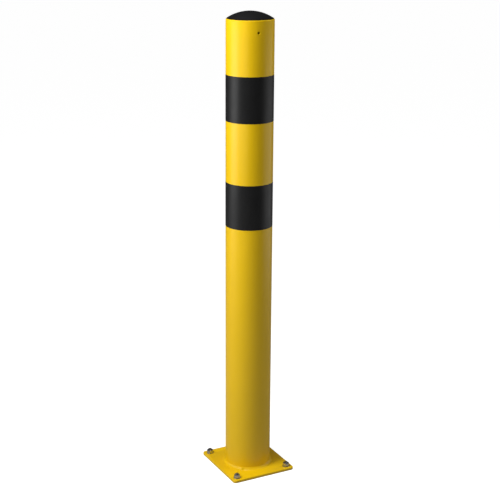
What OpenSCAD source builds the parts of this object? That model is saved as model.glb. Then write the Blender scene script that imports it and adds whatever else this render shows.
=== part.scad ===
// Bolt-down guard post. A capped steel tube stands on a welded base plate, two black
// bands wrap the tube, and four wedge anchors hold the plate to a concrete floor.
// Origin: middle of the plate's underside, on the floor. +Z runs up the post, +X lies
// along the plate's short side and +Y along its long side.

/* [Post tube] */
// Outer diameter of the tube
tube_d = 101.6; // [70:0.1:130]
// Wall thickness of the tube
tube_wall = 3; // [2:0.1:6]
// Length of the tube, from the plate to the rim
tube_l = 1000; // [700:5:1500]
// Radius that breaks the rim's outer edge
rim_r = 1.5; // [0.3:0.1:1.5]
// Diameter of the vent hole near the rim
vent_d = 5.5; // [2:0.5:12]
// Distance from the rim down to the middle of the vent hole
vent_drop = 25; // [23:1:60]
// Direction that the vent hole faces, in degrees from +X
vent_turn = -97.5; // [-180:0.5:180]

/* [Bands] */
// Height of each black band
band_h = 97; // [40:1:150]
// Distance from the rim down to the upper band
band_drop = 114; // [65:1:200]
// Clear height between the two bands
band_gap = 131.5; // [20:0.5:200]
// Thickness of the bands' film
film_t = 0.3; // [0.1:0.05:0.8]

/* [End cap] */
// How far the cap's head covers the rim all round
cap_overlap = 1.1; // [0.5:0.1:1.5]
// Height of the dome above the rim
cap_rise = 16; // [8:0.5:30]
// Height of the upright edge under the dome
cap_edge_h = 1.2; // [0.5:0.1:3]
// Thickness of the cap's plastic
cap_wall = 2.5; // [1.5:0.1:4]
// Depth of the plug inside the tube
plug_l = 20; // [14:0.5:21]
// How far each sealing fin stands out from the plug
fin_reach = 1.6; // [0.8:0.1:3]
// Thickness of a sealing fin
fin_t = 1.2; // [0.6:0.1:2]
// Gap all round between the fins and the tube's bore
fin_gap = 0.1; // [0.05:0.05:0.3]

/* [Base plate] */
// Length of the plate along X
plate_x = 152; // [140:1:240]
// Length of the plate along Y
plate_y = 165; // [140:1:240]
// Thickness of the plate
plate_t = 6; // [4:0.5:15]
// Radius of the plate's corners
plate_corner_r = 7; // [2:0.5:12]
// Distance from each edge of the plate to the middle of a bolt hole
hole_inset = 13.5; // [12:0.5:20]
// Diameter of the bolt holes
hole_d = 9; // [8.5:0.1:11]
// Leg of the weld between the tube and the plate
weld_leg = 5; // [3:0.5:6]

/* [Anchors] */
// Diameter of the anchor's shank, which fills the hole in the floor
shank_d = 8; // [8:0.1:8.2]
// Diameter over the thread
thread_d = 7.6; // [7.2:0.05:7.7]
// Length of the anchor from end to end
anchor_l = 75; // [65:1:120]
// How far the thread stands above the nut
thread_show = 3; // [1:0.5:12]
// Diameter of the neck that the clip wraps
neck_d = 5.6; // [4.5:0.1:6]
// Length of the neck
neck_l = 15; // [10:0.5:20]
// Length of the cone that spreads the clip
cone_l = 8; // [5:0.5:12]
// Length of the straight end under the cone
anchor_tip_l = 3; // [1:0.5:6]
// Outer diameter of the expansion clip
clip_d = 8.4; // [8.2:0.1:8.8]
// Width of the slit that opens the clip
clip_slit = 1.6; // [0.8:0.1:3]
// Length of the slots in the clip's lower end
clip_slot_l = 9; // [4:0.5:11]

/* [Washers and nuts] */
// Outer diameter of a washer
washer_d = 16; // [14:0.5:24]
// Bore of a washer
washer_bore = 8.4; // [8:0.1:9]
// Thickness of a washer
washer_t = 1.6; // [1:0.1:3]
// Width of a nut across its flats
nut_af = 13; // [11:0.5:16]
// Height of a nut
nut_h = 6.5; // [4:0.1:10]
// Gap all round between a nut and the thread
nut_gap = 0.05; // [0.02:0.01:0.1]

/* [Hidden] */
$fn = 96;

tube_r = tube_d / 2;
bore_r = tube_r - tube_wall;
rim_z = plate_t + tube_l;
upper_band_z = rim_z - band_drop - band_h;
lower_band_z = upper_band_z - band_gap - band_h;

head_r = bore_r + cap_overlap;
dome_h = cap_rise - cap_edge_h;
dome_r = (pow(head_r, 2) + pow(dome_h, 2)) / (2 * dome_h);
fin_r = bore_r - fin_gap;
plug_r = fin_r - fin_reach;
FINS = 3;
fin_pitch = plug_l / (FINS + 0.5);

hole_x = plate_x / 2 - hole_inset;
hole_y = plate_y / 2 - hole_inset;
// Corners 1 to 4 run anticlockwise from the one at +X +Y.
CORNERS = [[hole_x, hole_y], [-hole_x, hole_y], [-hole_x, -hole_y], [hole_x, -hole_y]];

washer_z = plate_t;
nut_z = washer_z + washer_t;
anchor_top_z = nut_z + nut_h + thread_show;
anchor_end_z = anchor_top_z - anchor_l;
neck_z = anchor_end_z + anchor_tip_l + cone_l;
// The cone and the straight end under it pass freely down a hole that fits the shank.
cone_slack = 0.2;
cone_r = shank_d / 2 - cone_slack;
tip_chamfer = 0.5;
thread_chamfer = 1;
clip_gap = 0.05;
clip_end_gap = 0.3;
clip_slot_w = clip_slit / 2;
nut_chamfer = 0.7;
nut_face_r = nut_af / 2 - 0.2;

yellow = [0.95, 0.76, 0.05];
black = [0.10, 0.10, 0.10];
zinc = [0.72, 0.73, 0.72];

// A straight-sided plate with round corners, lying on z = 0.
module rounded_plate(x, y, t, r) {
    translate([-x / 2 + r, -y / 2, 0]) cube([x - 2 * r, y, t]);
    translate([-x / 2, -y / 2 + r, 0]) cube([x, y - 2 * r, t]);
    for (sx = [-1, 1], sy = [-1, 1])
        translate([sx * (x / 2 - r), sy * (y / 2 - r), 0]) cylinder(r = r, h = t);
}

// A flat ring, lying on z = 0.
module ring(outer_r, inner_r, h) {
    difference() {
        cylinder(r = outer_r, h = h);
        translate([0, 0, -1]) cylinder(r = inner_r, h = h + 2);
    }
}

module at_corner(number) {
    translate(concat(CORNERS[number - 1], 0)) children();
}

module base_plate() {
    color(yellow) difference() {
        rounded_plate(plate_x, plate_y, plate_t, plate_corner_r);
        for (corner = CORNERS)
            translate(concat(corner, -1)) cylinder(d = hole_d, h = plate_t + 2);
    }
}

// The tube is a turned section whose outer top corner is broken by a quarter round.
module post_tube() {
    color(yellow) translate([0, 0, plate_t]) difference() {
        rotate_extrude() {
            translate([bore_r, 0]) square([tube_wall, tube_l - rim_r]);
            translate([bore_r, 0]) square([tube_wall - rim_r, tube_l]);
            translate([tube_r - rim_r, tube_l - rim_r]) intersection() {
                circle(r = rim_r);
                square(rim_r);
            }
        }
        rotate([0, 0, vent_turn]) translate([0, 0, tube_l - vent_drop])
            rotate([0, 90, 0]) cylinder(d = vent_d, h = tube_r + 1);
    }
}

module foot_weld() {
    color(yellow) translate([0, 0, plate_t]) rotate_extrude()
        polygon([[tube_r, 0], [tube_r + weld_leg, 0], [tube_r, weld_leg]]);
}

module band(z) {
    color(black) translate([0, 0, z]) ring(tube_r + film_t, tube_r, band_h);
}

// Head, hollow dome and finned plug, turned as one section about the post's axis.
module end_cap() {
    color(black) translate([0, 0, rim_z]) rotate_extrude() {
        difference() {
            intersection() {
                translate([0, cap_rise - dome_r]) circle(r = dome_r);
                square([head_r, cap_rise]);
            }
            intersection() {
                translate([0, cap_rise - dome_r]) circle(r = dome_r - cap_wall);
                square([plug_r - cap_wall, cap_rise]);
            }
            square([plug_r - cap_wall, cap_edge_h]);
        }
        translate([plug_r - cap_wall, -plug_l]) square([cap_wall, plug_l]);
        for (n = [1 : FINS])
            translate([plug_r, -n * fin_pitch]) square([fin_reach, fin_t]);
    }
}

// Thread, shank, neck and cone of one anchor, turned about its own axis.
module anchor_bolt() {
    color(zinc) rotate_extrude()
        polygon([[0, anchor_end_z],
                 [cone_r - tip_chamfer, anchor_end_z],
                 [cone_r, anchor_end_z + tip_chamfer],
                 [cone_r, anchor_end_z + anchor_tip_l],
                 [neck_d / 2, neck_z],
                 [neck_d / 2, neck_z + neck_l],
                 [shank_d / 2, neck_z + neck_l],
                 [shank_d / 2, 0],
                 [thread_d / 2, 0],
                 [thread_d / 2, anchor_top_z - thread_chamfer],
                 [thread_d / 2 - thread_chamfer, anchor_top_z],
                 [0, anchor_top_z]]);
}

// A sleeve of spring steel round the neck, slit down one side and slotted from below.
module expansion_clip() {
    color(zinc) translate([0, 0, neck_z + clip_end_gap]) difference() {
        ring(clip_d / 2, neck_d / 2 + clip_gap, neck_l - 2 * clip_end_gap);
        translate([0, -clip_slit / 2, -1]) cube([clip_d, clip_slit, neck_l + 2]);
        for (turn = [120, 240])
            rotate([0, 0, turn]) translate([0, -clip_slot_w / 2, -1])
                cube([clip_d, clip_slot_w, clip_slot_l + 1]);
    }
}

module washer() {
    color(zinc) translate([0, 0, washer_z]) ring(washer_d / 2, washer_bore / 2, washer_t);
}

// A hexagon whose corners are turned off at both faces.
module nut() {
    corner_r = nut_af / 2 / cos(30);
    color(zinc) translate([0, 0, nut_z]) difference() {
        intersection() {
            cylinder(r = corner_r, h = nut_h, $fn = 6);
            rotate_extrude()
                polygon([[0, 0], [nut_face_r, 0], [corner_r, nut_chamfer],
                         [corner_r, nut_h - nut_chamfer], [nut_face_r, nut_h], [0, nut_h]]);
        }
        translate([0, 0, -1]) cylinder(r = thread_d / 2 + nut_gap, h = nut_h + 2);
    }
}

base_plate();
post_tube();
foot_weld();
band(upper_band_z);  // upper_band
band(lower_band_z);  // lower_band
end_cap();
at_corner(1) anchor_bolt();  // anchor_bolt_1
at_corner(2) anchor_bolt();  // anchor_bolt_2
at_corner(3) anchor_bolt();  // anchor_bolt_3
at_corner(4) anchor_bolt();  // anchor_bolt_4
at_corner(1) expansion_clip();  // expansion_clip_1
at_corner(2) expansion_clip();  // expansion_clip_2
at_corner(3) expansion_clip();  // expansion_clip_3
at_corner(4) expansion_clip();  // expansion_clip_4
at_corner(1) washer();  // washer_1
at_corner(2) washer();  // washer_2
at_corner(3) washer();  // washer_3
at_corner(4) washer();  // washer_4
at_corner(1) nut();  // nut_1
at_corner(2) nut();  // nut_2
at_corner(3) nut();  // nut_3
at_corner(4) nut();  // nut_4
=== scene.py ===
"""A bolt-down guard post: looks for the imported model, in metres, in the model's own frame."""
import math

import bmesh
import bpy
from mathutils import Matrix, Vector


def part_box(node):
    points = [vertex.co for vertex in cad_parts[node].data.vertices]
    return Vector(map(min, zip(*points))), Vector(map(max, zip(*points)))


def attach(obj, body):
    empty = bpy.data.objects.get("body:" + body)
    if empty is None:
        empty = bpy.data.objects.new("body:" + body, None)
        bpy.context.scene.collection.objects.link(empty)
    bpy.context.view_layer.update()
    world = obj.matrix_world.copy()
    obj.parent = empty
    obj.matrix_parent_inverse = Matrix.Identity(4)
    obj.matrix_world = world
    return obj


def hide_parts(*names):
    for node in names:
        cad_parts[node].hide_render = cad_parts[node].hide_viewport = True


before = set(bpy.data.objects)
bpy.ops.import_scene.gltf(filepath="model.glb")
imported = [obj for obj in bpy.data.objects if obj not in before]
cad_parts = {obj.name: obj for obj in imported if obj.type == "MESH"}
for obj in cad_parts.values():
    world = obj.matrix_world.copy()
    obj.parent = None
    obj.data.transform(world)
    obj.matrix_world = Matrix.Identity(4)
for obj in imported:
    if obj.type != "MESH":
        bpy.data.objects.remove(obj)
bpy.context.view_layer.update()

scene = bpy.context.scene

# ---- Base plate ----
# A rectangle of 6 mm steel sheet with round corners and a hole near each corner for an
# anchor. It is profile-cut, its edges are knocked off, and it is coated with the tube.
plate_lo, plate_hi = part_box("base_plate")
plate_t = plate_hi.z - plate_lo.z
plate_corner_r = 0.007
plate_corner_steps = 16
plate_edge_r = 0.0007
plate_edge_steps = 2
plate_hole_r = 0.0045
plate_hole_steps = 48
anchor_spots = [tuple((a + b) / 2 for a, b in zip(*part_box(f"anchor_bolt_{n}")))[:2]
                for n in (1, 2, 3, 4)]


def add_node(tree, kind, values=None, **settings):
    """A node of that kind. values fill its sockets, and a socket given as a value is linked."""
    node = tree.nodes.new(kind)
    for key, setting in settings.items():
        setattr(node, key, setting)
    for key, value in (values or {}).items():
        for source in value if isinstance(value, list) else [value]:
            if isinstance(source, bpy.types.NodeSocket):
                tree.links.new(source, node.inputs[key])
            else:
                node.inputs[key].default_value = source
    return node


def calc(tree, operation, *values, clamp=False):
    """The output of a Math node over these values, in a shader tree or a geometry tree."""
    return add_node(tree, "ShaderNodeMath", dict(enumerate(values)), operation=operation,
                    use_clamp=clamp).outputs[0]


def axis_distance(tree, at):
    """How far a point lies from the Z axis. at is the point's three coordinates."""
    return calc(tree, "SQRT", calc(tree, "ADD", calc(tree, "MULTIPLY", at[0], at[0]),
                                   calc(tree, "MULTIPLY", at[1], at[1])))


def start_material(name, metallic=0.0):
    """A material with a Principled shader, and the Object coordinates for its patterns."""
    material = bpy.data.materials.new(name)
    material.use_nodes = True
    tree = material.node_tree
    shader = tree.nodes["Principled BSDF"]
    shader.inputs["Metallic"].default_value = metallic
    place = add_node(tree, "ShaderNodeTexCoord").outputs["Object"]
    return material, tree, shader, place


noise_span = 0.3, 0.7


def noise(tree, place, grain, detail=2.0, seed=0.0):
    """Noise whose patches are about grain metres across, from 0 to 1."""
    return add_node(tree, "ShaderNodeTexNoise",
                    {"Vector": place, "W": seed, "Scale": 1 / grain, "Detail": detail},
                    noise_dimensions="4D").outputs["Fac"]


def spread(tree, factor, low, high):
    """A number that runs from low to high where the noise runs over its usual span."""
    return add_node(tree, "ShaderNodeMapRange",
                    {"Value": factor, "From Min": noise_span[0], "From Max": noise_span[1],
                     "To Min": low, "To Max": high}).outputs["Result"]


def blend_colours(tree, factor, first, second):
    """first where factor is 0 and second where it is 1."""
    mix = add_node(tree, "ShaderNodeMix", {0: factor}, data_type="RGBA")
    for slot, colour in ((6, first), (7, second)):
        if isinstance(colour, bpy.types.NodeSocket):
            tree.links.new(colour, mix.inputs[slot])
        else:
            mix.inputs[slot].default_value = (*colour, 1)
    return mix.outputs[2]


def raise_bumps(tree, shader, layers):
    """Bumps made of (height pattern, height in metres) layers, one on the other."""
    normal = None
    for pattern, height in layers:
        bump = add_node(tree, "ShaderNodeBump", {"Height": pattern, "Distance": height})
        if normal:
            tree.links.new(normal, bump.inputs["Normal"])
        normal = bump.outputs["Normal"]
    tree.links.new(normal, shader.inputs["Normal"])


# The powder coat: an even traffic yellow that flows out with a fine orange peel. Powder
# reaches only a little way down the bore, and below that the steel is bare.
tube_lo, tube_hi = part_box("post_tube")
tube_wall = 0.003
bore_r = tube_hi.x - tube_wall
bore_slack = 0.0002
coat_tints = (0.84, 0.53, 0.004), (0.88, 0.555, 0.006)
coat_roughness = 0.285, 0.345
coat_reach = 0.035
coat_ragged = 0.02
coat_fade = 0.012
steel_tints = (0.10, 0.09, 0.08), (0.26, 0.24, 0.22)
steel_roughness_gain = 0.25
peel_size, peel_h = 0.0026, 0.00003
fine_peel_size, fine_peel_h = 0.0009, 0.000005


def yellow_powder_coat():
    material, tree, shader, place = start_material("yellow_powder_coat")
    coat = blend_colours(tree, noise(tree, place, 0.09, seed=1.0), *coat_tints)
    steel = blend_colours(tree, noise(tree, place, 0.006, 4.0, 3.0), *steel_tints)
    at = add_node(tree, "ShaderNodeSeparateXYZ", {0: place}).outputs
    inside = calc(tree, "LESS_THAN", axis_distance(tree, at), bore_r + bore_slack)
    reach = calc(tree, "ADD",
                 calc(tree, "MULTIPLY", noise(tree, place, 0.012, seed=2.0), coat_ragged),
                 tube_hi.z - coat_reach - coat_ragged / 2)
    deep = calc(tree, "DIVIDE", calc(tree, "SUBTRACT", reach, at[2]), coat_fade, clamp=True)
    bare = calc(tree, "MULTIPLY", inside, deep)
    tree.links.new(blend_colours(tree, bare, coat, steel), shader.inputs["Base Color"])
    roughness = spread(tree, noise(tree, place, 0.02, seed=4.0), *coat_roughness)
    tree.links.new(calc(tree, "ADD", roughness,
                        calc(tree, "MULTIPLY", bare, steel_roughness_gain)),
                   shader.inputs["Roughness"])
    raise_bumps(tree, shader, [(noise(tree, place, peel_size, 1.0, 5.0), peel_h),
                               (noise(tree, place, fine_peel_size, 1.0, 6.0), fine_peel_h)])
    return material


powder_coat = yellow_powder_coat()


def outline(curve, points):
    """Adds one closed line through these points to a flat curve."""
    spline = curve.splines.new("POLY")
    spline.points.add(len(points) - 1)
    spline.use_cyclic_u = True
    for point, (x, y) in zip(spline.points, points):
        point.co = (x, y, 0, 1)


def arc(centre, r, start, end, steps):
    """Points along an arc of a circle, angles in degrees."""
    angles = [math.radians(start + (end - start) * i / steps) for i in range(steps + 1)]
    return [(centre[0] + r * math.cos(a), centre[1] + r * math.sin(a)) for a in angles]


merge_distance = 1e-6
no_length = 1e-7


def add_piece(name, mesh, sharp_angle=35):
    """A plain mesh object: doubles merged, faces outwards, smooth except at sharp corners."""
    clean = bmesh.new()
    clean.from_mesh(mesh)
    bmesh.ops.remove_doubles(clean, verts=clean.verts, dist=merge_distance)
    bmesh.ops.dissolve_degenerate(clean, edges=clean.edges, dist=no_length)
    bmesh.ops.recalc_face_normals(clean, faces=clean.faces)
    clean.to_mesh(mesh)
    clean.free()
    mesh.shade_smooth()
    mesh.set_sharp_from_angle(angle=math.radians(sharp_angle))
    piece = bpy.data.objects.new(name, mesh)
    scene.collection.objects.link(piece)
    return piece


def stand_for(piece, body, node):
    """The piece rides on the body and is shown in place of the node."""
    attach(piece, body)
    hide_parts(node)


def cut_plate():
    """The plate's outline and holes as a flat curve, given its thickness and soft edges."""
    curve = bpy.data.curves.new("plate_outline", "CURVE")
    curve.dimensions = "2D"
    curve.fill_mode = "BOTH"
    curve.extrude = plate_t / 2 - plate_edge_r
    curve.bevel_depth = plate_edge_r
    curve.bevel_resolution = plate_edge_steps
    curve.offset = -plate_edge_r
    inner_x, inner_y = plate_hi.x - plate_corner_r, plate_hi.y - plate_corner_r
    rim = []
    for turn, (sx, sy) in enumerate(((1, 1), (-1, 1), (-1, -1), (1, -1))):
        rim += arc((sx * inner_x, sy * inner_y), plate_corner_r, turn * 90, turn * 90 + 90,
                   plate_corner_steps)
    outline(curve, rim)
    for corner in anchor_spots:
        outline(curve, arc(corner, plate_hole_r, 360, 0, plate_hole_steps)[:-1])
    maker = bpy.data.objects.new("plate_maker", curve)
    mesh = bpy.data.meshes.new_from_object(maker)
    bpy.data.objects.remove(maker)
    mesh.transform(Matrix.Translation((0, 0, plate_t / 2)))
    mesh.materials.clear()
    mesh.materials.append(powder_coat)
    return mesh


floor_plate = add_piece("floor_plate", cut_plate())
stand_for(floor_plate, "post", "base_plate")

# ---- Post tube ----
# A length of round steel tube, 3 mm thick, sawn square. Its top edge is filed round so that
# the cap beds down, and a vent hole near the top lets it drain when it is coated.
tube_r = tube_hi.x
rim_r = 0.0015
rim_steps = 8
tube_ring_gap = 0.04
tube_facets = 256
vent_r = 0.00275
vent_lip = 0.0004
vent_z = tube_hi.z - 0.025
vent_turn = math.radians(-97.5)
vent_facets = 48
drill_l = 0.02
drill_depth = 0.005


def start_tree(name, sizes):
    """A geometry tree with a named number input for each size, and its Group Input node."""
    tree = bpy.data.node_groups.new(name, "GeometryNodeTree")
    tree.interface.new_socket("Geometry", in_out="INPUT", socket_type="NodeSocketGeometry")
    for size in sizes:
        tree.interface.new_socket(size, in_out="INPUT", socket_type="NodeSocketFloat")
    tree.interface.new_socket("Material", in_out="INPUT", socket_type="NodeSocketMaterial")
    tree.interface.new_socket("Geometry", in_out="OUTPUT", socket_type="NodeSocketGeometry")
    return tree, tree.nodes.new("NodeGroupInput").outputs


def end_tree(tree, given, geometry):
    """Ends a tree: instances made real, and the material set."""
    real = add_node(tree, "GeometryNodeRealizeInstances", {0: geometry})
    painted = add_node(tree, "GeometryNodeSetMaterial",
                       {"Geometry": real.outputs[0], "Material": given["Material"]})
    tree.links.new(painted.outputs[0], tree.nodes.new("NodeGroupOutput").inputs[0])


def join_xyz(tree, x=0.0, y=0.0, z=0.0):
    """A vector of three numbers, each of which may be another node's output."""
    return add_node(tree, "ShaderNodeCombineXYZ", {0: x, 1: y, 2: z}).outputs[0]


def shifted(tree, geometry, **change):
    """The geometry after a move or a turn, given as Translation or Rotation."""
    return add_node(tree, "GeometryNodeTransform",
                    {"Geometry": geometry, **change}).outputs[0]


def sweep(tree, section, facets):
    """The section, x outwards and y down, swept once round the Z axis."""
    ring = add_node(tree, "GeometryNodeCurvePrimitiveCircle",
                    {"Resolution": facets, "Radius": 1.0})
    line = add_node(tree, "GeometryNodeMeshToCurve", {0: section})
    # The ring is 1 m in radius, so the section starts 1 m further in to come out true.
    inset = shifted(tree, line.outputs[0], Translation=(-1.0, 0, 0))
    swept = add_node(tree, "GeometryNodeCurveToMesh",
                     {"Curve": ring.outputs[0], "Profile Curve": inset})
    return add_node(tree, "GeometryNodeMergeByDistance",
                    {"Geometry": swept.outputs[0], "Distance": merge_distance}).outputs[0]


def section_mesh(name, points, closed=True):
    """A section as a line of (radius, height) points, laid out as sweep() takes it."""
    mesh = bpy.data.meshes.new(name)
    edges = [(i, i + 1) for i in range(len(points) - 1)]
    if closed:
        edges.append((len(points) - 1, 0))
    mesh.from_pydata([(r, -z, 0) for r, z in points], edges, [])
    return mesh


def run_tree(tree, start_mesh, material, sizes, move=(0, 0, 0)):
    """Runs a tree on a mesh with these sizes, and returns the result as a plain mesh."""
    maker = bpy.data.objects.new("maker", start_mesh)
    scene.collection.objects.link(maker)
    modifier = maker.modifiers.new("maker", "NODES")
    modifier.node_group = tree
    given = {**sizes, "Material": material}
    for socket in tree.interface.items_tree:
        if socket.in_out == "INPUT" and socket.name in given:
            modifier[socket.identifier] = given[socket.name]
    graph = bpy.context.evaluated_depsgraph_get()
    mesh = bpy.data.meshes.new_from_object(maker.evaluated_get(graph))
    maker.modifiers.clear()
    bpy.data.objects.remove(maker)
    mesh.transform(Matrix.Translation(move))
    return mesh


def tube_section():
    """Down the bore and up the outside, with rings between, and round over the rim."""
    rings = round((tube_hi.z - tube_lo.z) / tube_ring_gap)
    heights = [tube_lo.z + (tube_hi.z - rim_r - tube_lo.z) * i / rings for i in range(rings + 1)]
    rim = arc((tube_r - rim_r, tube_hi.z - rim_r), rim_r, 0, 90, rim_steps)
    return ([(tube_r, z) for z in heights] + rim[1:]
            + [(bore_r, tube_hi.z)] + [(bore_r, z) for z in reversed(heights)])


tube_tree, given = start_tree("vented_tube", ["Vent radius", "Vent lip", "Vent height",
                                              "Vent turn", "Tube radius"])
drill = add_node(tube_tree, "GeometryNodeMeshCylinder",
                 {"Vertices": vent_facets, "Radius": given["Vent radius"], "Depth": drill_l})
drill_in_place = shifted(tube_tree, drill.outputs[0], Translation=join_xyz(
    tube_tree, z=calc(tube_tree, "SUBTRACT", given["Tube radius"], drill_depth)))
lip = add_node(tube_tree, "GeometryNodeMeshCone",
               {"Vertices": vent_facets,
                "Depth": calc(tube_tree, "MULTIPLY", given["Vent lip"], 2.0),
                "Radius Bottom": given["Vent radius"],
                "Radius Top": calc(tube_tree, "MULTIPLY_ADD", given["Vent lip"], 2.0,
                                   given["Vent radius"])})
lip_in_place = shifted(tube_tree, lip.outputs[0], Translation=join_xyz(
    tube_tree, z=calc(tube_tree, "SUBTRACT", given["Tube radius"], given["Vent lip"])))
cutters = add_node(tube_tree, "GeometryNodeMeshBoolean",
                   {"Mesh 2": [drill_in_place, lip_in_place]},
                   operation="UNION", solver="EXACT")
aimed = shifted(tube_tree, cutters.outputs[0],
                Rotation=join_xyz(tube_tree, y=math.radians(90), z=given["Vent turn"]),
                Translation=join_xyz(tube_tree, z=given["Vent height"]))
vented = add_node(tube_tree, "GeometryNodeMeshBoolean",
                  {"Mesh 1": sweep(tube_tree, given["Geometry"], tube_facets),
                   "Mesh 2": aimed}, operation="DIFFERENCE", solver="EXACT")
end_tree(tube_tree, given, vented.outputs[0])

coated_tube = add_piece("coated_tube", run_tree(
    tube_tree, section_mesh("tube_section", tube_section()), powder_coat,
    {"Vent radius": vent_r, "Vent lip": vent_lip, "Vent height": vent_z,
     "Vent turn": vent_turn, "Tube radius": tube_r}))
stand_for(coated_tube, "post", "post_tube")

# ---- Foot weld ----
# One pass of fillet weld all round the foot of the tube, laid by hand in short steps. It
# starts and stops at one place, where the bead is thicker, and the coat softens its ripples.
weld_lo, weld_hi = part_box("foot_weld")
weld_leg = weld_hi.x - tube_r
weld_hollow = 0.00049
weld_root = 0.0004
weld_face_steps = 14
weld_facets = 900
weld_ripples = 84.0
weld_ripple_h = 0.00022
weld_ripple_slope = 0.7
weld_bow = 0.55
weld_waver = 0.5
weld_waver_scale = 160.0
weld_lump_h = 0.0011
weld_lump_w = 0.0035
weld_lump_round = 0.6
weld_stop_turn = math.radians(-132.4)


def weld_section():
    """A fillet, a little hollow in its face, feathered out at both toes."""
    face = []
    for i in range(weld_face_steps + 1):
        share = i / weld_face_steps
        hollow = weld_hollow * math.sin(math.pi * share)
        face.append((tube_r + weld_leg * (1 - share) - hollow,
                     weld_lo.z + weld_leg * share - hollow))
    return face + [(tube_r - weld_root, weld_lo.z + weld_leg), (tube_r - weld_root, weld_lo.z)]


weld_tree, given = start_tree("weld_bead", ["Foot height", "Leg", "Ripples", "Ripple height",
                                            "Bow", "Lump height", "Lump width", "Lump turn",
                                            "Tube radius"])
bead = sweep(weld_tree, given["Geometry"], weld_facets)
at = add_node(weld_tree, "ShaderNodeSeparateXYZ",
              {0: add_node(weld_tree, "GeometryNodeInputPosition").outputs[0]}).outputs
turn = calc(weld_tree, "ARCTAN2", at[1], at[0])
across = calc(weld_tree, "DIVIDE", calc(weld_tree, "SUBTRACT", at[2], given["Foot height"]),
              given["Leg"], clamp=True)
hump = calc(weld_tree, "SINE", calc(weld_tree, "MULTIPLY", across, math.pi))
waver = add_node(weld_tree, "ShaderNodeTexNoise",
                 {"W": 7.0, "Scale": weld_waver_scale, "Detail": 2.0},
                 noise_dimensions="4D").outputs["Fac"]
phase = calc(weld_tree, "ADD",
             calc(weld_tree, "MULTIPLY", calc(weld_tree, "DIVIDE", turn, 2 * math.pi),
                  given["Ripples"]),
             calc(weld_tree, "ADD", calc(weld_tree, "MULTIPLY", hump, given["Bow"]),
                  calc(weld_tree, "MULTIPLY", waver, weld_waver)))
wave = calc(weld_tree, "POWER", calc(weld_tree, "FRACT", phase), weld_ripple_slope)
off_turn = calc(weld_tree, "WRAP", calc(weld_tree, "SUBTRACT", turn, given["Lump turn"]),
                math.pi, -math.pi)
off_lump = calc(weld_tree, "DIVIDE", calc(weld_tree, "MULTIPLY", off_turn,
                                          given["Tube radius"]), given["Lump width"])
lump = calc(weld_tree, "EXPONENT", calc(weld_tree, "MULTIPLY", -1.0,
                                        calc(weld_tree, "MULTIPLY", off_lump, off_lump)))
rise = calc(weld_tree, "ADD",
            calc(weld_tree, "MULTIPLY", calc(weld_tree, "MULTIPLY", wave, hump),
                 given["Ripple height"]),
            calc(weld_tree, "MULTIPLY",
                 calc(weld_tree, "MULTIPLY", lump,
                      calc(weld_tree, "POWER", hump, weld_lump_round)),
                 given["Lump height"]))
outwards = join_xyz(weld_tree,
                    calc(weld_tree, "MULTIPLY", calc(weld_tree, "COSINE", turn), rise),
                    calc(weld_tree, "MULTIPLY", calc(weld_tree, "SINE", turn), rise), rise)
on_face = calc(weld_tree, "GREATER_THAN", axis_distance(weld_tree, at), given["Tube radius"])
rippled = add_node(weld_tree, "GeometryNodeSetPosition",
                   {"Geometry": bead, "Selection": on_face, "Offset": outwards})
end_tree(weld_tree, given, rippled.outputs[0])

weld_bead = add_piece("weld_bead", run_tree(
    weld_tree, section_mesh("weld_section", weld_section()), powder_coat,
    {"Foot height": weld_lo.z, "Leg": weld_leg, "Ripples": weld_ripples,
     "Ripple height": weld_ripple_h, "Bow": weld_bow, "Lump height": weld_lump_h,
     "Lump width": weld_lump_w, "Lump turn": weld_stop_turn, "Tube radius": tube_r}),
    sharp_angle=60)
stand_for(weld_bead, "post", "foot_weld")

# ---- Bands ----
# Two strips of black self-adhesive film. Each goes once round the tube and laps over its
# own end at the back, and the coat's orange peel shows through it faintly.
film_t = 0.00013
film_lap = 0.012
film_edge = 0.00003
film_rings = 6
film_facets = 256
film_tints = (0.0085, 0.0085, 0.009), (0.012, 0.012, 0.012)
film_roughness = 0.37, 0.45
lap_turn = math.radians(70)


def black_film():
    material, tree, shader, place = start_material("black_film")
    tree.links.new(blend_colours(tree, noise(tree, place, 0.05, seed=11.0), *film_tints),
                   shader.inputs["Base Color"])
    tree.links.new(spread(tree, noise(tree, place, 0.03, 3.0, 12.0), *film_roughness),
                   shader.inputs["Roughness"])
    raise_bumps(tree, shader, [(noise(tree, place, 0.0028, 1.0, 5.0), peel_h),
                               (noise(tree, place, 0.014, 1.0, 13.0), 0.00002)])
    return material


film = black_film()
band_tree, given = start_tree("wrapped_film", ["Radius", "Thickness", "Turns", "Start"])
path = add_node(band_tree, "GeometryNodeCurveSpiral",
                {"Resolution": film_facets, "Rotations": given["Turns"], "Height": 0.0,
                 "Start Radius": given["Radius"],
                 "End Radius": calc(band_tree, "MULTIPLY_ADD", given["Thickness"],
                                    given["Turns"], given["Radius"])})
strip_edge = add_node(band_tree, "GeometryNodeMeshToCurve", {0: given["Geometry"]})
strip = add_node(band_tree, "GeometryNodeCurveToMesh",
                 {"Curve": path.outputs[0], "Profile Curve": strip_edge.outputs[0],
                  "Fill Caps": True})
end_tree(band_tree, given, shifted(band_tree, strip.outputs[0],
                                   Rotation=join_xyz(band_tree, z=given["Start"])))

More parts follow.
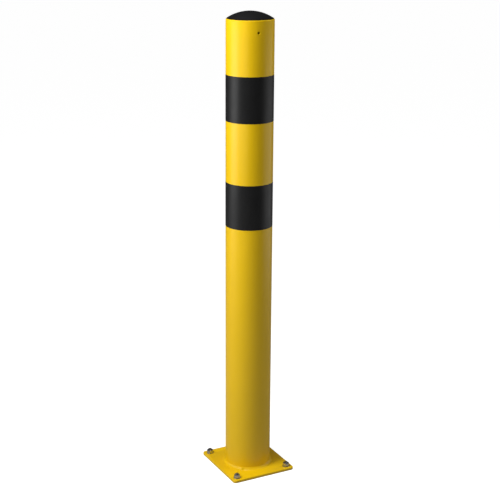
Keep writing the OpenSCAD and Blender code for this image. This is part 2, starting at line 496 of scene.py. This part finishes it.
for node in ("upper_band", "lower_band"):
    band_lo, band_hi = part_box(node)
    half_t, half_h = film_t / 2, (band_hi.z - band_lo.z) / 2
    face = [(half_t, -half_h + film_edge + 2 * (half_h - film_edge) * i / film_rings)
            for i in range(film_rings + 1)]
    side = [(half_t - film_edge, -half_h)] + face + [(half_t - film_edge, half_h)]
    section = side + [(-x, -z) for x, z in side]
    piece = add_piece(node.replace("_band", "_film_band"), run_tree(
        band_tree, section_mesh("film_section", section), film,
        {"Radius": tube_r + half_t, "Thickness": film_t, "Start": lap_turn,
         "Turns": 1 + film_lap / (2 * math.pi * tube_r)},
        (0, 0, (band_lo.z + band_hi.z) / 2)))
    stand_for(piece, "post", node)

# ---- End cap ----
# Moulded in one shot of black polyethylene: a shallow dome that covers the rim, and a hollow
# plug under it with three thin fins, which bend against the bore and hold the cap in.
cap_lo, cap_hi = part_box("end_cap")
cap_r = cap_hi.x
cap_seat = tube_hi.z
cap_edge_h = 0.0012
cap_edge_r = 0.0008
cap_edge_drop = 0.0002
cap_edge_turn = 60
cap_edge_steps = 5
cap_land = 0.0003
cap_wall = 0.0025
cap_facets = 192.0
dome_start = 1.2
dome_steps = 40
dome_inner_steps = 24
plug_r = 0.0461
plug_outer_chamfer = 0.0004
plug_inner_chamfer = 0.0003
fin_r = 0.0477
fin_t = 0.0012
fin_count = 3
cap_tints = (0.005, 0.005, 0.0055), (0.008, 0.008, 0.0085)
cap_roughness = 0.58, 0.68


def black_polyethylene():
    material, tree, shader, place = start_material("black_polyethylene")
    tree.links.new(blend_colours(tree, noise(tree, place, 0.02, seed=22.0), *cap_tints),
                   shader.inputs["Base Color"])
    tree.links.new(spread(tree, noise(tree, place, 0.008, 3.0, 23.0), *cap_roughness),
                   shader.inputs["Roughness"])
    shader.inputs["Specular IOR Level"].default_value = 0.2
    raise_bumps(tree, shader, [(noise(tree, place, 0.0005, 3.0, 21.0), 0.000022),
                               (noise(tree, place, 0.011, 1.0, 24.0), 0.00004)])
    return material


def cap_section():
    """Up the outside of the plug and its fins, over the dome, and back down inside."""
    plug_l = cap_seat - cap_lo.z
    fin_pitch = plug_l / (fin_count + 0.5)
    inner_r = plug_r - cap_wall
    points = [(inner_r, cap_lo.z + plug_inner_chamfer), (inner_r + plug_inner_chamfer, cap_lo.z),
              (plug_r - plug_outer_chamfer, cap_lo.z), (plug_r, cap_lo.z + plug_outer_chamfer)]
    for n in range(fin_count, 0, -1):
        root, tip = cap_seat - n * fin_pitch, fin_t / 4
        points += [(plug_r, root), (fin_r - tip, root + tip), (fin_r, root + 2 * tip),
                   (fin_r - tip, root + 3 * tip), (plug_r, root + fin_t)]
    points += [(plug_r, cap_seat), (cap_r - cap_land, cap_seat), (cap_r, cap_seat + cap_land)]
    dome_h = cap_hi.z - cap_seat - cap_edge_h
    dome_r = (cap_r ** 2 + dome_h ** 2) / (2 * dome_h)
    lean = math.degrees(math.asin(cap_r / dome_r))
    dome_z = cap_hi.z - dome_r
    dome = arc((0, dome_z), dome_r, 90 - lean, 90, dome_steps)
    points += arc((cap_r - cap_edge_r, cap_seat + cap_edge_h - cap_edge_drop), cap_edge_r, 0,
                  cap_edge_turn, cap_edge_steps)
    points += [(r, z) for r, z in dome if r < cap_r - cap_edge_r * dome_start]
    inner_lean = math.degrees(math.asin(inner_r / (dome_r - cap_wall)))
    points += arc((0, dome_z), dome_r - cap_wall, 90, 90 - inner_lean, dome_inner_steps)
    return points


polyethylene = black_polyethylene()
turned_tree, given = start_tree("turned_piece", ["Facets"])
end_tree(turned_tree, given, sweep(turned_tree, given["Geometry"], given["Facets"]))
push_in_cap = add_piece("push_in_cap", run_tree(
    turned_tree, section_mesh("cap_section", cap_section(), closed=False), polyethylene,
    {"Facets": cap_facets}), sharp_angle=40)
stand_for(push_in_cap, "cap", "end_cap")

# ---- Anchor bolts ----
# Wedge anchors, cold-formed from steel rod and zinc plated: a rolled M8 thread, a plain
# shank, a neck for the clip, and a cone that spreads the clip as the nut is tightened.
bolt_lo, bolt_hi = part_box("anchor_bolt_1")
bolt_facets = 48.0
bolt_tip_l = 0.003
bolt_tip_chamfer = 0.0005
cone_r = 0.0038
cone_l = 0.008
neck_r = 0.0028
neck_hi_z = -0.0319
shank_r = 0.004
shank_chamfer = 0.0004
shank_hi_z = -0.0002
thread_r = 0.0038
thread_root_r = 0.0033
thread_pitch = 0.00125
thread_rings = 8
thread_chamfer = 0.001
thread_chamfer_steps = 6
zinc_pale = 1.14
zinc_roughness_spread = 0.12


def zinc_plate(name, tint, roughness):
    """Bright zinc over steel, passivated: cloudy, with faint drawing lines and pits."""
    material, tree, shader, place = start_material(name, metallic=1.0)
    cloud = noise(tree, place, 0.004, 3.0, 31.0)
    pale = tuple(min(1.0, shade * zinc_pale) for shade in tint)
    tree.links.new(blend_colours(tree, cloud, tint, pale), shader.inputs["Base Color"])
    tree.links.new(spread(tree, noise(tree, place, 0.0015, 4.0, 32.0), roughness,
                          roughness + zinc_roughness_spread), shader.inputs["Roughness"])
    raise_bumps(tree, shader, [(noise(tree, place, 0.0007, 2.0, 33.0), 0.000012),
                               (noise(tree, place, 0.00018, 2.0, 34.0), 0.000003)])
    return material


# The bolts' zinc is a darker copy of the nuts' and washers' zinc. Its lower tint is painted
# shade, which keeps the stud ends dark where they would catch the overhead box.
shade_darkened_bolt_zinc = zinc_plate("shade_darkened_bolt_zinc", (0.30, 0.30, 0.29), 0.32)


def bolt_section():
    """From the tip up to the end of the thread, with close rings where the thread runs."""
    neck_lo = bolt_lo.z + bolt_tip_l + cone_l
    ring_gap = thread_pitch / thread_rings
    threads = [(thread_r, i * ring_gap)
               for i in range(int((bolt_hi.z - thread_chamfer) / ring_gap) + 1)]
    chamfer = [(thread_r - thread_chamfer * i / thread_chamfer_steps,
                bolt_hi.z - thread_chamfer * (1 - i / thread_chamfer_steps))
               for i in range(thread_chamfer_steps + 1)]
    return [(0, bolt_lo.z), (cone_r - bolt_tip_chamfer, bolt_lo.z),
            (cone_r, bolt_lo.z + bolt_tip_chamfer), (cone_r, bolt_lo.z + bolt_tip_l),
            (neck_r, neck_lo), (neck_r, neck_hi_z), (shank_r - shank_chamfer, neck_hi_z),
            (shank_r, neck_hi_z + shank_chamfer), (shank_r, shank_hi_z),
            *threads, *chamfer, (0, bolt_hi.z)]


thread_tree, given = start_tree("rolled_thread", ["Facets", "Pitch", "Crest", "Root"])
rod = sweep(thread_tree, given["Geometry"], given["Facets"])
at = add_node(thread_tree, "ShaderNodeSeparateXYZ",
              {0: add_node(thread_tree, "GeometryNodeInputPosition").outputs[0]}).outputs
radius = axis_distance(thread_tree, at)
turns = calc(thread_tree, "DIVIDE", calc(thread_tree, "ARCTAN2", at[1], at[0]), 2 * math.pi)
along = calc(thread_tree, "SUBTRACT", calc(thread_tree, "DIVIDE", at[2], given["Pitch"]), turns)
from_root = calc(thread_tree, "ABSOLUTE", calc(thread_tree, "SUBTRACT", calc(
    thread_tree, "MULTIPLY", calc(thread_tree, "FRACT", along), 2.0), 1.0))
# A quarter of the pitch is flat at the root, and an eighth at the crest.
flank = calc(thread_tree, "DIVIDE", calc(thread_tree, "SUBTRACT", from_root, 0.25), 0.625,
             clamp=True)
run_in = calc(thread_tree, "DIVIDE", at[2], given["Pitch"], clamp=True)
depth = calc(thread_tree, "MULTIPLY", calc(thread_tree, "SUBTRACT", given["Crest"],
                                           given["Root"]), run_in)
thread_at = calc(thread_tree, "SUBTRACT", given["Crest"], calc(
    thread_tree, "MULTIPLY", depth, calc(thread_tree, "SUBTRACT", 1.0, flank)))
shrink = calc(thread_tree, "DIVIDE", calc(thread_tree, "MINIMUM", radius, thread_at),
              calc(thread_tree, "MAXIMUM", radius, merge_distance))
cut = join_xyz(thread_tree, calc(thread_tree, "MULTIPLY", at[0], shrink),
               calc(thread_tree, "MULTIPLY", at[1], shrink), at[2])
threaded = add_node(thread_tree, "GeometryNodeSetPosition",
                    {"Geometry": rod, "Position": cut,
                     "Selection": calc(thread_tree, "GREATER_THAN", at[2], 0.0)})
end_tree(thread_tree, given, threaded.outputs[0])

for number, (x, y) in enumerate(anchor_spots, 1):
    bolt = add_piece(f"wedge_anchor_{number}", run_tree(
        thread_tree, section_mesh("bolt_section", bolt_section(), closed=False), shade_darkened_bolt_zinc,
        {"Facets": bolt_facets, "Pitch": thread_pitch, "Crest": thread_r,
         "Root": thread_root_r}, (x, y, 0)))
    stand_for(bolt, "post", f"anchor_bolt_{number}")

# ---- Expansion clips ----
# Pressed from spring steel strip and rolled round each anchor's neck. The cone opens the
# clip against the sides of the hole, and its own slots let the lower end spread.
clip_steel = zinc_plate("clip_steel", (0.33, 0.33, 0.34), 0.34)
for number in (1, 2, 3, 4):
    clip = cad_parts[f"expansion_clip_{number}"]
    for slot in clip.material_slots:
        slot.material = clip_steel

# ---- Washers ----
# Flat washers stamped from zinc-plated steel sheet. The press rounds the upper edge of the
# rim and of the hole, and leaves the lower edges square.
washer_lo, washer_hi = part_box("washer_1")
washer_r = (washer_hi.x - washer_lo.x) / 2
washer_bore_r = 0.0042
washer_edge_r = 0.0004
washer_edge_steps = 6
washer_facets = 96.0
washer_zinc = zinc_plate("washer_zinc", (0.48, 0.48, 0.47), 0.29)


def washer_section():
    """A flat ring, round at the top of its rim and of its hole."""
    top = washer_hi.z - washer_edge_r
    return ([(washer_bore_r, washer_lo.z), (washer_r, washer_lo.z)]
            + arc((washer_r - washer_edge_r, top), washer_edge_r, 0, 90, washer_edge_steps)
            + arc((washer_bore_r + washer_edge_r, top), washer_edge_r, 90, 180,
                  washer_edge_steps))


for number, (x, y) in enumerate(anchor_spots, 1):
    washer = add_piece(f"flat_washer_{number}", run_tree(
        turned_tree, section_mesh("washer_section", washer_section()), washer_zinc,
        {"Facets": washer_facets}, (x, y, 0)))
    stand_for(washer, "post", f"washer_{number}")

# ---- Nuts ----
# M8 hexagon nuts, cold-formed and zinc plated. Both faces are turned, which takes the hex
# corners off at an angle, and the hole is countersunk so that the thread starts cleanly.
nut_lo, nut_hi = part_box("nut_1")
nut_corner_r = (nut_hi.x - nut_lo.x) / 2
nut_af = nut_corner_r * 2 * math.cos(math.radians(30))
nut_bore_r = 0.00385
nut_sink = 0.0005
nut_chamfer = 0.0007
nut_face_inset = 0.0002
nut_face_r = nut_af / 2 - nut_face_inset
nut_facets = 96
nut_zinc = zinc_plate("nut_zinc", (0.52, 0.52, 0.51), 0.29)


def nut_section():
    """The turned blank: countersunk bore, flat faces and sloping corners."""
    lo, hi, out = nut_lo.z, nut_hi.z, nut_corner_r + nut_chamfer
    slope = nut_chamfer * (out - nut_face_r) / (nut_corner_r - nut_face_r)
    return [(nut_bore_r, lo + nut_sink), (nut_bore_r + nut_sink, lo), (nut_face_r, lo),
            (out, lo + slope), (out, hi - slope), (nut_face_r, hi),
            (nut_bore_r + nut_sink, hi), (nut_bore_r, hi - nut_sink)]


nut_tree, given = start_tree("hexagon_nut", ["Corner radius", "Height", "Middle"])
# The hexagon bar stands half as tall again as the nut, so that only the turning ends it.
hexagon = add_node(nut_tree, "GeometryNodeMeshCylinder",
                   {"Vertices": 6, "Radius": given["Corner radius"],
                    "Depth": calc(nut_tree, "MULTIPLY", given["Height"], 1.5)})
raised = shifted(nut_tree, hexagon.outputs[0],
                 Translation=join_xyz(nut_tree, z=given["Middle"]))
nut_cut = add_node(nut_tree, "GeometryNodeMeshBoolean",
                   {"Mesh 2": [sweep(nut_tree, given["Geometry"], nut_facets), raised]},
                   operation="INTERSECT", solver="EXACT")
end_tree(nut_tree, given, nut_cut.outputs[0])

for number, (x, y) in enumerate(anchor_spots, 1):
    nut = add_piece(f"hex_nut_{number}", run_tree(
        nut_tree, section_mesh("nut_section", nut_section()), nut_zinc,
        {"Corner radius": nut_corner_r, "Height": nut_hi.z - nut_lo.z,
         "Middle": (nut_lo.z + nut_hi.z) / 2}, (x, y, 0)), sharp_angle=25)
    stand_for(nut, f"nut_{number}", f"nut_{number}")

# ---- Studio ----
# A pale floor, a soft key and an overhead box at the upper left, dim boxes at the left, the
# front and the right, and a camera a little above the post's top. Three of the boxes leave
# no highlight, because it would whiten the cap from low angles and streak the bands.
view_turn = math.radians(-117.9)
view_lift = math.radians(16.5)
view_distance = 2.5
view_aim_z = 0.509
view_aim_side = 0.0026
view_roll = 0.0064
view_lens = 82.5
view_sensor = 36.0
floor_reach = 80.0
floor_shade = (0.35, 0.35, 0.35, 1)
floor_glow = 0.97
air_glow = 0.95
air_fill = 0.05
scene.view_settings.view_transform = "Standard"


def towards(turn, height, distance):
    """A place at that height and distance, turned that many degrees right of the camera."""
    angle = view_turn + math.radians(turn)
    return Vector((math.cos(angle) * distance, math.sin(angle) * distance, height))


camera = bpy.data.objects.new("camera", bpy.data.cameras.new("camera"))
camera.data.lens = view_lens
camera.data.sensor_width = view_sensor
scene.collection.objects.link(camera)
scene.camera = camera
aim = Vector((0, 0, view_aim_z)) + towards(90, 0, view_aim_side)
back = towards(0, 0, 1) * math.cos(view_lift) + Vector((0, 0, math.sin(view_lift)))
camera.matrix_world = (Matrix.Translation(aim + back * view_distance)
                       @ back.to_track_quat("Z", "Y").to_matrix().to_4x4()
                       @ Matrix.Rotation(view_roll, 4, "Z"))


def soft_light(name, turn, height, distance, size, watts, aim_z, glossy=True):
    """A soft box, aimed at a height on the post. One with no gloss leaves no highlight."""
    lamp = bpy.data.lights.new(name, "AREA")
    lamp.shape = "RECTANGLE"
    lamp.size, lamp.size_y = size
    lamp.energy = watts
    light = bpy.data.objects.new(name, lamp)
    light.location = towards(turn, height, distance)
    light.rotation_euler = (light.location - Vector((0, 0, aim_z))).to_track_quat(
        "Z", "Y").to_euler()
    light.visible_camera = False
    light.visible_glossy = glossy
    scene.collection.objects.link(light)


soft_light("key", -56, 1.9, 1.1, (0.55, 0.55), 27.5, 0.8, glossy=False)
soft_light("left_key", -72, 0.75, 0.9, (0.5, 0.5), 1.1, 0.6)
soft_light("front_key", -30, 0.7, 1.0, (0.7, 0.5), 2.3, 0.6, glossy=False)
soft_light("left_wall", -80, 0.5, 1.7, (1.3, 1.0), 4.0, 0.5)
soft_light("overhead", -56, 2.0, 0.3, (0.5, 0.5), 4.0, 0.0)
soft_light("right_top", 100, 1.5, 0.95, (0.6, 0.7), 5.6, 0.8, glossy=False)
soft_light("right_wall", 102, 0.45, 1.4, (1.5, 0.85), 2.7, 0.5)


def studio_floor():
    """A plain pale floor. Its glow, which only the camera sees, leaves hardly any shadow."""
    mesh = bpy.data.meshes.new("studio_floor")
    mesh.from_pydata([(x * floor_reach, y * floor_reach, 0)
                      for x, y in ((-1, -1), (1, -1), (1, 1), (-1, 1))], [], [(0, 1, 2, 3)])
    material, tree, shader, place = start_material("studio_floor")
    seen = add_node(tree, "ShaderNodeLightPath").outputs["Is Camera Ray"]
    shader.inputs["Base Color"].default_value = floor_shade
    shader.inputs["Roughness"].default_value = 0.9
    shader.inputs["Emission Color"].default_value = (1, 1, 1, 1)
    tree.links.new(calc(tree, "MULTIPLY", seen, floor_glow), shader.inputs["Emission Strength"])
    mesh.materials.append(material)
    floor = bpy.data.objects.new("studio_floor", mesh)
    scene.collection.objects.link(floor)
    return floor


studio_floor()

world = bpy.data.worlds.new("studio")
scene.world = world
world.use_nodes = True
air = world.node_tree.nodes["Background"]
air.inputs["Color"].default_value = (1, 1, 1, 1)
seen = add_node(world.node_tree, "ShaderNodeLightPath").outputs["Is Camera Ray"]
world.node_tree.links.new(
    calc(world.node_tree, "MULTIPLY_ADD", seen, air_glow, air_fill), air.inputs["Strength"])
